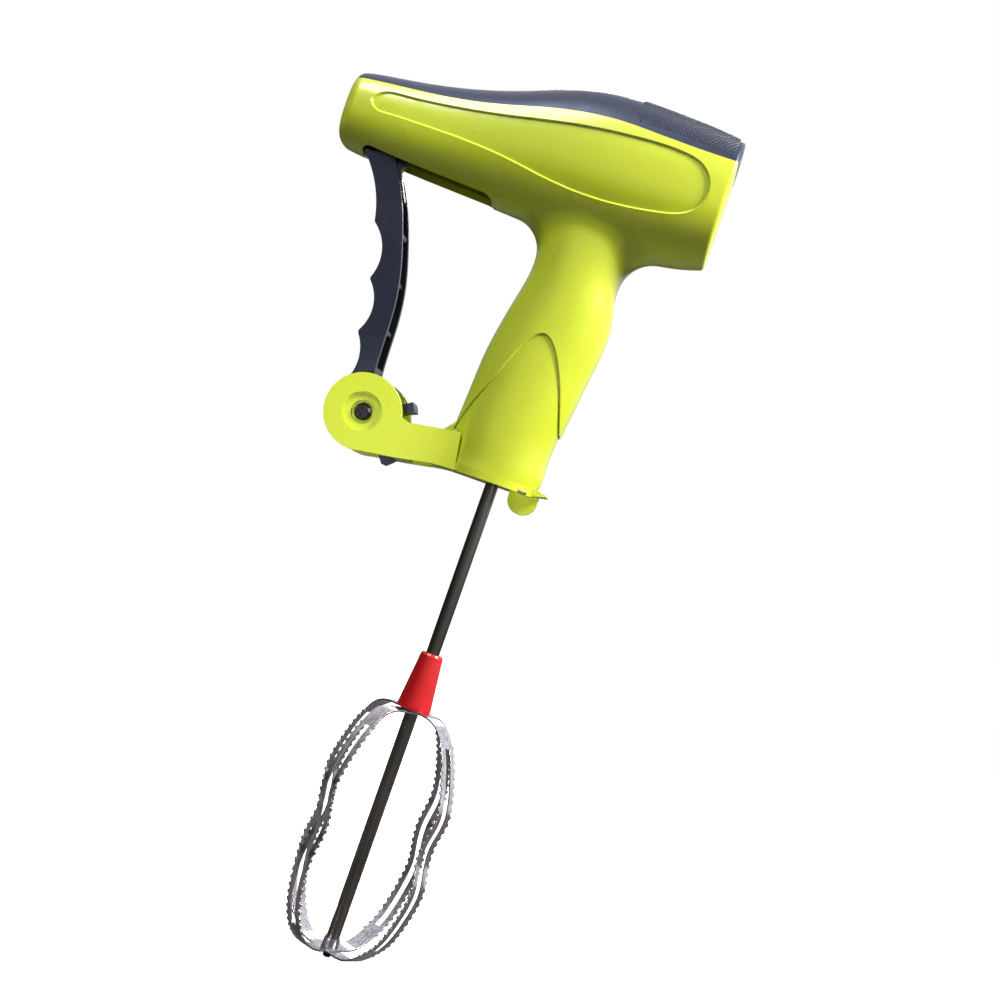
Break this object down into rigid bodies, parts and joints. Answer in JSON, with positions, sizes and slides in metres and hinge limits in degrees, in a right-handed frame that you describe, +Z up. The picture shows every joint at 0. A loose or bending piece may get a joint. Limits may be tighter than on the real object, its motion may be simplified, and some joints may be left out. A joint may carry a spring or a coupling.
{
  "type": "hand blender",
  "caption": "squeeze-lever hand blender: pistol-shaped plastic housing, pivoted finger lever that drives a gear train, steel rod and toothed strip whisk",
  "frame": {"origin": "middle of the neck on the drive shaft's axis, where the hand holds the tool", "axes": "+Z up along the drive shaft, +X along the barrel away from the finger lever, Y across the housing"},
  "size_m": [0.1574, 0.0583, 0.363],
  "materials": {
    "lime_plastic": "gloss lime green moulded ABS",
    "dark_plastic": "satin dark blue-grey moulded plastic",
    "gear_plastic": "natural acetal",
    "steel": "drawn steel, zinc or bare",
    "whisk_steel": "stamped stainless strip",
    "bush_plastic": "acetal bush",
    "red_plastic": "gloss red moulded cap"
  },
  "bodies": {
    "housing": {"housing_front_half": "lime_plastic", "housing_back_half": "lime_plastic", "top_cover": "dark_plastic", "bottom_plate": "lime_plastic", "housing_screws": "steel", "plate_screws": "steel", "pivot_screw": "steel", "pivot_nut": "steel", "return_spring": "steel", "first_axle": "steel", "idler_axle": "steel", "crown_axle": "steel", "upper_bush": "bush_plastic", "lower_bush": "bush_plastic"},
    "lever": {"squeeze_lever": "dark_plastic", "lever_sector": "gear_plastic", "sector_pins": "steel"},
    "first_wheel": {"first_gear": "gear_plastic"},
    "idler": {"idler_gear": "gear_plastic"},
    "crown": {"crown_gear": "gear_plastic"},
    "whisk": {"drive_shaft": "steel", "shaft_pinion": "gear_plastic", "shaft_clip": "steel", "hub_cap": "red_plastic", "outer_blade": "whisk_steel", "inner_blade": "whisk_steel", "tip_collar": "steel"}
  },
  "joints": [
    {"name": "lever_pivot", "type": "hinge", "parent": "housing", "child": "lever", "pos_m": [-0.057, 0, -0.04], "axis": [0, 1, 0], "range_deg": [0, 20], "stiffness_Nm_per_rad": 0.8, "springref_deg": -17.19},
    {"name": "first_gear_spin", "type": "hinge", "parent": "housing", "child": "first_wheel", "pos_m": [-0.0535, 0, 0.07995], "axis": [0, 1, 0], "range_deg": [-280, 0]},
    {"name": "idler_spin", "type": "hinge", "parent": "housing", "child": "idler", "pos_m": [-0.02378, 0, 0.08401], "axis": [0, 1, 0], "range_deg": [0, 186.67]},
    {"name": "crown_spin", "type": "hinge", "parent": "housing", "child": "crown", "pos_m": [0, 0, 0.08726], "axis": [0, 1, 0], "range_deg": [-560, 0]},
    {"name": "whisk_spin", "type": "hinge", "parent": "housing", "child": "whisk", "pos_m": [0, 0, 0], "axis": [0, 0, 1], "range_deg": [-1400, 0]}
  ],
  "couplings": [
    {"joint": "first_gear_spin", "follows": "lever_pivot", "ratio": -14},
    {"joint": "idler_spin", "follows": "lever_pivot", "ratio": 9.3333},
    {"joint": "crown_spin", "follows": "lever_pivot", "ratio": -28},
    {"joint": "whisk_spin", "follows": "lever_pivot", "ratio": -70}
  ]
}
